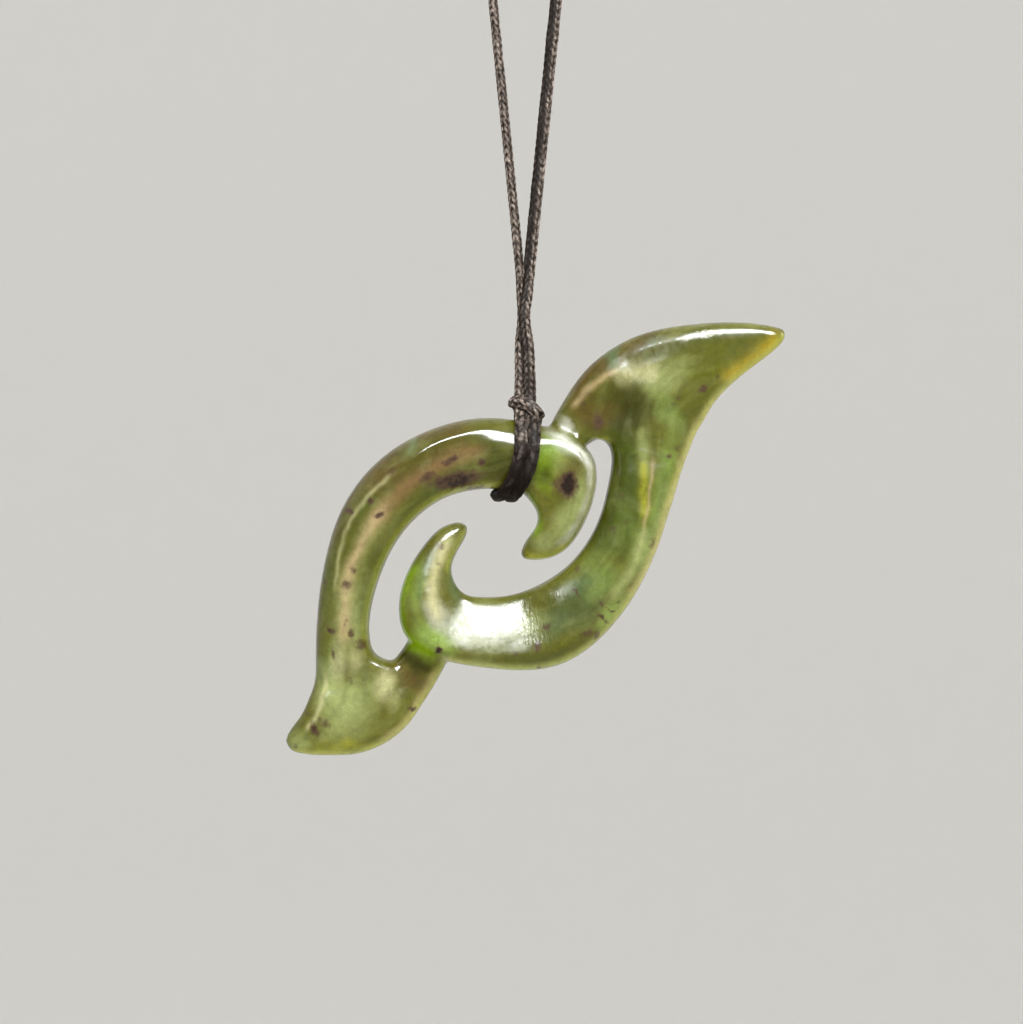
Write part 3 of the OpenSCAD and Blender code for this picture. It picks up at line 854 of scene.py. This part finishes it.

# Veins and edges of tone, among them painted glow along thin edges, painted highlights along rims and ridges,
# and a painted shadow: tone, strength, half width and the line
STREAKS = [
    ("clay", 0.85, 0.9, [(-4.4, 8.8), (-7.2, 8.4), (-9.5, 7.4), (-11.6, 6.2), (-13.3, 4.9), (-14.7, 3.5),
        (-15.9, 2), (-16.8, 0.4)]),
    ("tan", 0.8, 0.62, [(-14.4, 4), (-15.9, 2.2), (-16.9, 0.5), (-18, -1.6), (-18.7, -3.3), (-19, -5.1),
        (-19.1, -7.5), (-19.2, -9.8), (-18.5, -11.3)]),
    ("cream", 0.85, 0.62, [(-8.4, 0.6), (-9.4, -1.2), (-9.9, -2.2), (-10.3, -3.8), (-10.4, -5.7),
        (-10, -7.4), (-9.2, -8.8)]),
    ("mist", 0.5, 0.3, [(-10.2, -1.4), (-11.2, -3.3), (-11.6, -4.9), (-11.6, -6.6)]),
    # Painted glow along the lower curl's left edge
    ("lime_glow", 0.95, 0.7, [(-12, -2.2), (-13.2, -4.2), (-13.7, -6.4), (-13.8, -8.2), (-13.2, -9.7),
        (-11.7, -11), (-9.2, -12.1)]),
    # Painted shadow where the left fin's root passes behind the lower curl
    ("deep", 0.95, 0.6, [(-13.9, -11.3), (-12.2, -12.5), (-10.2, -13.5)]),
    # Painted glow along the lower arm's bottom edge and the shoulder's inner edge
    ("lime_glow", 0.85, 0.55, [(-9, -12.8), (-5, -13.3), (-1, -13.5), (2.2, -13), (5.2, -11.5)]),
    ("lime_glow", 0.7, 0.5, [(-1.2, 4.4), (-0.2, 2.6), (0, 1), (-0.9, -0.2)]),
    ("straw", 0.9, 0.4, [(-1.4, -1.6), (0.2, -2), (2, -1.6), (4, 0.2)]),
    # Painted highlight along the shoulder's rim
    ("painted_highlight", 0.9, 0.42, [(0.3, 10.7), (1.9, 10.2), (3.5, 9.2), (4.8, 8.2), (5.5, 6.7), (5.45, 4.8),
        (5, 3.2), (4.3, 1.6), (3.2, 0), (1.6, -1.2)]),
    ("milky", 0.35, 0.8, [(13.2, 6), (12.7, 4), (12.2, 1.8), (11.3, -0.8), (10.1, -3.4)]),
    ("forest", 0.7, 0.5, [(9, 10), (9.3, 7.5), (9.5, 5), (9.8, 2.6), (10.2, 1)]),
    ("milky", 0.6, 0.6, [(10.3, 11.2), (10.6, 9.2), (10.7, 7), (10.7, 5.5)]),
    ("straw", 0.75, 0.45, [(10.6, 8), (10.7, 5.8), (10.6, 4.2), (10.7, 2.4), (10.6, 1.4)]),
    ("tan", 0.6, 0.17, [(11.5, 8.8), (11.5, 6.2), (11.2, 4.4), (10.75, 1.4), (10.1, -1.4), (9.3, -3.2)]),
    ("milky", 0.75, 0.6, [(10.9, 1.4), (10.1, -1.5), (9.2, -3.4), (8, -5.2), (6.9, -6.6)]),
    ("amber", 0.95, 0.95, [(24.8, 20.2), (22.9, 18.5), (21.2, 17.3), (19.6, 16.2), (18.4, 15)]),
    # Partly the stone's tan edge, partly painted rim light along the right arm's outer edge
    ("tan", 0.9, 0.5, [(19.9, 15.7), (17.9, 13.6), (16.2, 11.1), (15.1, 8.6), (14.3, 6), (13.5, 3.8),
        (12.8, 1.4), (11.8, -1.4), (11.1, -3), (9.7, -5.4), (8.4, -7.3)]),
    ("tan", 0.7, 0.36, [(3.4, 12.8), (4.2, 13.9), (5.5, 15.2), (7.4, 16.4), (8.6, 16.9)]),
    ("cream", 0.6, 0.9, [(7.4, 15.8), (9, 16.4), (10.6, 16.6), (12.6, 16.2)]),
    ("tan", 0.7, 0.5, [(-9.6, -12.9), (-11.2, -15.6), (-12.6, -17.8), (-14.2, -19.5), (-16.1, -20.6)]),
    ("cream", 0.6, 0.25, [(-21, -13.2), (-21.1, -15), (-21.7, -17), (-22.5, -18.4), (-23.5, -19.7)]),
    # Painted highlight line along the left arm's ridge
    ("cream", 0.45, 0.22, [(-13.8, 6.9), (-16.8, 4.2), (-18.4, 1.9), (-19.2, 0.1), (-19.8, -2.6),
        (-20.2, -6.2)]),
    ("mist", 0.7, 0.35, [(-12.2, 10.2), (-12.5, 9), (-12.6, 7.8)]),
    ("bark", 0.7, 0.35, [(-21.8, -2), (-22, -5), (-22.1, -9), (-22.2, -13)]),
]

# Dark marks inside the stone: strength and oval. Each shows this much past its oval.
MARK_MARGIN = 0.10
MARKS = [
    (1.2, 3.1, 5.3, 1.25, 0.8, 85), (0.6, 2.2, 5.3, 0.9, 0.7, 60), (0.9, -5.5, 7.6, 0.38, 0.3, 30),
    (0.95, -8, 5.8, 2.6, 0.8, 12), (0.8, -8.6, 7.7, 1, 0.3, 28), (0.7, -11, 6, 0.9, 0.4, 35),
    (0.5, -6.3, 5, 1.2, 0.4, 5), (0.8, -16.6, 3.7, 0.3, 0.25), (0.8, -15.7, 2.3, 0.45, 0.2, 10),
    (0.8, -18.8, 2.7, 0.4, 0.2, -25), (0.6, -18.9, -4.6, 0.5, 0.35, 10), (0.6, -18.3, -3.2, 0.2, 0.4),
    (0.6, -21.1, -4.4, 0.15, 0.3), (0.8, -20.6, -9.2, 0.55, 0.18, -28), (0.7, -18.5, -9.5, 0.22, 0.5),
    (0.55, -17.5, -10.6, 0.6, 0.5, 20), (0.5, -19, -8.2, 0.2, 0.5, -20), (0.6, -9.9, -2.6, 0.18, 0.18),
    (0.4, -9.7, -0.9, 0.35, 0.3), (0.5, -11.2, -5.5, 0.15, 0.15), (1, -9.8, -11.2, 0.3, 0.24, 30),
    (0.7, 0.1, -10.8, 0.28, 0.5), (0.5, -2.2, -11.6, 0.15, 0.15), (0.45, 1, -8.8, 0.35, 0.45),
    (0.5, 0.2, -12.8, 0.2, 0.2), (0.7, 3.9, -5.4, 0.75, 0.1, -50), (0.75, 6.6, -8, 0.8, 0.1, -42),
    (0.6, 6.4, -6.5, 0.2, 0.2), (0.5, 8.2, -6.4, 0.2, 0.2), (0.6, 5.9, -9.6, 0.25, 0.45, -10),
    (0.5, 5, -9.5, 0.5, 0.3, 20), (0.45, 4, -3, 0.3, 0.4), (0.6, 7.4, -7.2, 0.6, 0.08, -20),
    (0.7, 6, 11.6, 0.45, 0.8), (0.4, 4.7, 13.3, 0.3, 0.3), (0.7, 16.5, 14.9, 0.4, 0.35),
    (0.5, 14, 14, 0.15, 0.15), (0.4, 13.6, 13.4, 0.2, 0.1), (0.6, 13.1, 8.1, 0.2, 0.2),
    (0.4, 14, 9, 0.35, 0.3), (0.5, 8.4, 4.3, 0.15, 0.15), (0.5, 8, 6.6, 0.15, 0.12),
    (0.5, 7.5, 1, 0.25, 0.2), (0.4, 8.8, 1.5, 0.2, 0.2), (0.45, 11.5, -0.5, 0.25, 0.6, -15),
    (0.5, 18, 16, 0.2, 0.2), (0.8, -22.2, -19.1, 0.3, 0.8, 18), (0.4, -21.3, -18.4, 0.8, 0.4, -40),
    (0.6, -20.3, -11.6, 0.14, 0.6, 5), (0.4, -18.6, -14.2, 0.25, 0.6, 15), (0.5, -17.3, -10.5, 0.4, 0.3),
    (0.7, -12.4, -17, 0.32, 0.22, 10), (0.4, -13.4, -15.8, 0.2, 0.2), (0.4, -24.2, -20.8, 0.2, 0.2),
    (0.5, -22.7, -17.6, 0.35, 0.14, -15), (0.4, -14.4, 6.6, 0.5, 0.3, 40),
]


# Duller patches of the polish, and patches scored by its last strokes: strength and oval
WORN = [
    (0.7, -3.6, -8.6, 5.5, 3.4), (1.4, -8.4, -8.8, 2.6, 3), (1.2, -4.5, -11.2, 5, 1.2),
    (2.2, 11.4, 18.7, 4, 1.6, 24), (2, 8.4, 17.1, 1.8, 1.2, 30), (1.2, 2.9, 11.3, 1.5, 1.1, -35),
    (0.7, 3.4, 9.2, 3.6, 1.2, -38), (0.4, 19.5, 20.6, 5, 1, 2), (0.9, 2.2, -5.4, 2.6, 1.6, 30),
    (1.7, -10.4, -1.7, 2.2, 1, 65), (0.6, 10.6, 16.4, 3.4, 1.6, 10), (0.5, -15, -15.2, 1.6, 1.6),
]
SCORED = [
    (1, 0.8, -8.2, 3.2, 4), (0.25, -5, -8.6, 4.5, 3.4), (0.5, 10.6, 16.4, 3.4, 1.6, 10),
    (0.7, 16.6, 20.4, 2.4, 1, 8), (0.5, -1.6, -6.8, 3.2, 1.8, -8), (0.6, -15, -15.2, 1.6, 1.6),
]


def stirred(points, size, amount, seed):
    """The x and z of each point, pushed about by soft noise, which makes the edges drawn there ragged."""
    push = np.array([noise.noise_vector((p[0] / size, p[1] / size + seed, p[2] / size)) for p in points])
    return points[:, 0] + amount * push[:, 0], points[:, 2] + amount * push[:, 2]


# The run of the arms, which the fibres in the stone follow
FLOWS = [
    [(-0.8, 8.4), (-6, 8), (-10, 6.3), (-14, 2.8), (-17, -2), (-18.8, -7), (-19.1, -11), (-18.6, -15),
        (-19.8, -18.2), (-23.5, -20.6)],
    [(24, 20), (18, 18.4), (13.4, 16), (11, 12), (10.6, 6), (9.8, 2), (7.4, -3), (4, -6.6), (0, -8.8),
        (-4, -9.6), (-8, -8.8), (-10.6, -6), (-10.2, -3), (-8.8, 0.4)],
    [(-1.6, 8.2), (1.5, 7.4), (3, 5), (2.6, 2), (0.4, -1)],
    [(-9.6, -11.8), (-12.4, -14.4), (-15, -16.8), (-18, -19)],
]
FIBRE_LENGTH = 6.5
FIBRE_WIDTH = 1.0


def fibres(points):
    """Soft streaks from -1 to 1 that run along the arms."""
    x, z = stirred(points, size=3.0, amount=0.5, seed=6)
    total, weights = np.zeros(len(x)), np.zeros(len(x))
    for seed, flow in enumerate(FLOWS):
        line = rounded_line(flow)
        length = np.linalg.norm(np.diff(line, axis=0), axis=1).sum()
        d, side, share = near_line(x, z, line)
        coarse = [noise.noise((a / FIBRE_LENGTH, b / FIBRE_WIDTH, seed * 7))
                  + 0.6 * noise.noise((a * 2.1 / FIBRE_LENGTH, b * 2.3 / FIBRE_WIDTH, seed * 7 + 3))
                  for a, b in zip(share * length, d * side)]
        weight = 1 / (d + 0.6) ** 4
        total += weight * np.array(coarse)
        weights += weight
    return np.clip(1.5 * total / weights, -1, 1)


# Painted glow: the thin edges that face down and to the right are painted lighter, as if light gathered in
# them: how far in, which way, and how strongly
RIM_GLOW = 1.0
GLOW_WAY = (0.55, -0.835)
GLOW_STRENGTH = 0.75

# The tones are spread out from this middle one, so that dark places are deeper and pale ones clearer
TONE_MIDDLE = (0.16, 0.165, 0.05)
TONE_SPREAD = 1.18
TONE_DEPTH = (0.90, 0.90, 0.78)


def stone_tones(points, normal, rim):
    """The stone's broad colour at each point, with its painted highlights, glow and shadow, and how strongly
    a dark mark shows there.
    """
    x, z = stirred(points, size=2.2, amount=0.6, seed=0)
    colour = np.tile(TONES["olive"], (len(points), 1))

    def lay(tone, share):
        return colour * (1 - share[:, None]) + np.array(TONES[tone]) * share[:, None]

    def along(line, half_width):
        d, _, share = near_line(x, z, rounded_line(line))
        ends = smooth_step(share, -0.02, 0.15) * smooth_step(1 - share, -0.02, 0.15)
        return ends * np.exp(-(d / half_width) ** 2)

    for tone, strength, half_width, line in BANDS:
        colour = lay(tone, strength * along(line, half_width))
    for tone, strength, *oval in CLOUDS:
        q = np.clip(in_oval(x, z, *oval), 0, 1)
        colour = lay(tone, strength * (1 - q * q) ** 1.5)
    fibre = fibres(points)
    colour = lay("milky", 0.12 * smooth_step(fibre, 0.0, 0.8))
    colour = lay("sage", 0.25 * smooth_step(-fibre, 0.0, 0.8))
    x, z = stirred(points, size=1.2, amount=0.2, seed=9)
    for tone, strength, half_width, line in STREAKS:
        colour = lay(tone, strength * along(line, half_width))
    # Painted glow on the thin edges that face down and to the right
    facing = normal[:, 0] * GLOW_WAY[0] + normal[:, 2] * GLOW_WAY[1]
    facing = facing / np.hypot(normal[:, 0], normal[:, 2])
    glow = smooth_step(1 - rim / RIM_GLOW, 0, 0.9) * smooth_step(facing, 0.0, 0.8)
    glow = glow * (0.25 + 0.75 * smooth_step(np.abs(normal[:, 1]), 0.05, 0.45))
    colour = lay("glow", GLOW_STRENGTH * glow)
    colour = np.array(TONE_DEPTH) * TONE_MIDDLE * (colour / TONE_MIDDLE) ** TONE_SPREAD
    x, z = stirred(points, size=0.5, amount=0.22, seed=4)
    dark = np.zeros(len(points))
    for strength, *oval in MARKS:
        q = in_oval(x, z, *oval, margin=MARK_MARGIN)
        dark = np.maximum(dark, strength * smooth_step(1.5 - q, 0, 1.2))
    return colour, dark


def paint(stone, points, normal, rim):
    """Stores the stone's tones, dark marks and polish for its material."""
    colour, dark = stone_tones(points, normal, rim)
    store(stone, "dark", dark)
    x, z = points[:, 0], points[:, 2]
    for name, patches in (("worn_and_glint", WORN), ("scored", SCORED)):
        share = np.zeros(len(points))
        for strength, *oval in patches:
            share = np.maximum(share, strength * smooth_step(1.2 - in_oval(x, z, *oval), 0, 0.8))
        store(stone, name, share)
    with_alpha = np.hstack([colour, np.ones((len(points), 1))])
    tones = stone.data.attributes.new("tone", "FLOAT_COLOR", "POINT")
    tones.data.foreach_set("color", with_alpha.astype(np.float32).ravel())


# How fine the stone's patterns are, in waves to the metre
DRIFT = 230
FELT = 1300
GRAIN = 6500
RAGGED = 1900
SPECKS = 3200
WAVES = 600
SCORES = 2600

# The polish: roughness of the clean stone, and what a worn patch adds
POLISH = 0.16
WORN_ADDS = 0.26


def stone_material():
    material, nodes, shader = new_material("greenstone")
    where = nodes.place()
    colour = nodes.attribute("tone", "Color")
    drift = nodes.noise(where, DRIFT, 4, 0.55, 0.6)
    felt = nodes.noise(where, FELT, 5, 0.68, 0.5)
    grain = nodes.noise(where, GRAIN, 3, 0.65)
    colour = nodes.mix(nodes.ramp(drift, 0.50, 0.68, 0, 0.16), colour, TONES["milky"])
    colour = nodes.mix(nodes.ramp(drift, 0.50, 0.32, 0, 0.22), colour, TONES["forest"])
    shade = nodes.times(nodes.ramp(felt, 0.3, 0.7, 0.86, 1.14), nodes.ramp(grain, 0.25, 0.75, 0.94, 1.06))
    grey = nodes.add("ShaderNodeCombineColor", (), (shade, shade, shade)).outputs[0]
    colour = nodes.mix(1.0, colour, grey, "MULTIPLY")
    ragged = nodes.noise(where, RAGGED, 4, 0.6)
    dark = nodes.math("ADD", nodes.attribute("dark"), nodes.ramp(ragged, 0.25, 0.75, -0.2, 0.2))
    specks = nodes.ramp(nodes.noise(where, SPECKS, 2, 0.5), 0.72, 0.80, 0, 0.45)
    plum = nodes.math("MAXIMUM", nodes.ramp(dark, 0.05, 0.75, 0, 0.9), specks)
    colour = nodes.mix(plum, colour, TONES["plum"])
    colour = nodes.mix(nodes.ramp(dark, 0.62, 1.10, 0, 0.92), colour, TONES["umber"])
    worn_and_glint = nodes.times(nodes.attribute("worn_and_glint"), nodes.ramp(felt, 0.35, 0.65, 0.35, 1.0))
    roughness = nodes.math("ADD", nodes.times(worn_and_glint, WORN_ADDS), POLISH)
    waves = nodes.bump(nodes.noise(where, WAVES, 3), 0.3, 0.0001)
    scuffs = nodes.bump(grain, 0.12, 0.00003, waves)
    upright = nodes.add("ShaderNodeVectorMath", {"operation": "MULTIPLY"}, (where, (1, 1, 0.35)))
    score = nodes.times(nodes.noise(upright.outputs[0], SCORES, 4, 0.6), nodes.attribute("scored"))
    nodes.fill(shader, Base_Color=colour, Roughness=roughness, IOR=1.5, Specular_IOR_Level=0.26,
               Subsurface_Weight=0.12, Subsurface_Radius=(0.8, 1.0, 0.25), Subsurface_Scale=0.0006,
               Normal=nodes.bump(score, 1.0, 0.00012, scuffs))
    return material


make_stone()


# Light

def area_light(name, at, aim, size, watts, colour=(1, 1, 1)):
    """A rectangle of light, placed and sized in metres."""
    data = bpy.data.lights.new(name, "AREA")
    data.shape = "RECTANGLE"
    data.size, data.size_y = size
    data.energy = watts
    data.color = colour
    light = add_object(name, data)
    light.location = at
    light.rotation_euler = (Vector(aim) - Vector(at)).to_track_quat("-Z", "Y").to_euler()
    return light


# Light from all round the studio
STUDIO_COLOUR = (1, 0.99, 0.97, 1)
STUDIO_STRENGTH = 0.85


def make_light():
    world = bpy.data.worlds.new("studio")
    bpy.context.scene.world = world
    world.use_nodes = True
    background = world.node_tree.nodes["Background"]
    background.inputs["Color"].default_value = STUDIO_COLOUR
    background.inputs["Strength"].default_value = STUDIO_STRENGTH
    stone = (STONE_X * MM, 0, STONE_Z * MM)
    key = area_light("key_above", at=(0.05, -0.34, 0.10), aim=stone, size=(0.24, 0.20), watts=2.6)
    key.visible_glossy = False
    # A wide panel that shows in the gloss of the polish alone
    panel = area_light("gloss_panel", at=(0.07, -0.32, 0.0), aim=stone, size=(0.38, 0.20), watts=18,
                       colour=(0.93, 0.97, 1))
    panel.visible_diffuse = False
    glow = area_light("glow_below", at=(-0.02, -0.24, -0.58), aim=stone, size=(0.24, 0.16), watts=0.42)
    glow.visible_glossy = False
    area_light("edge_right", at=(0.42, 0.05, -0.14), aim=stone, size=(0.12, 0.30), watts=1.0)
    bpy.context.scene.view_settings.view_transform = "Standard"


make_light()
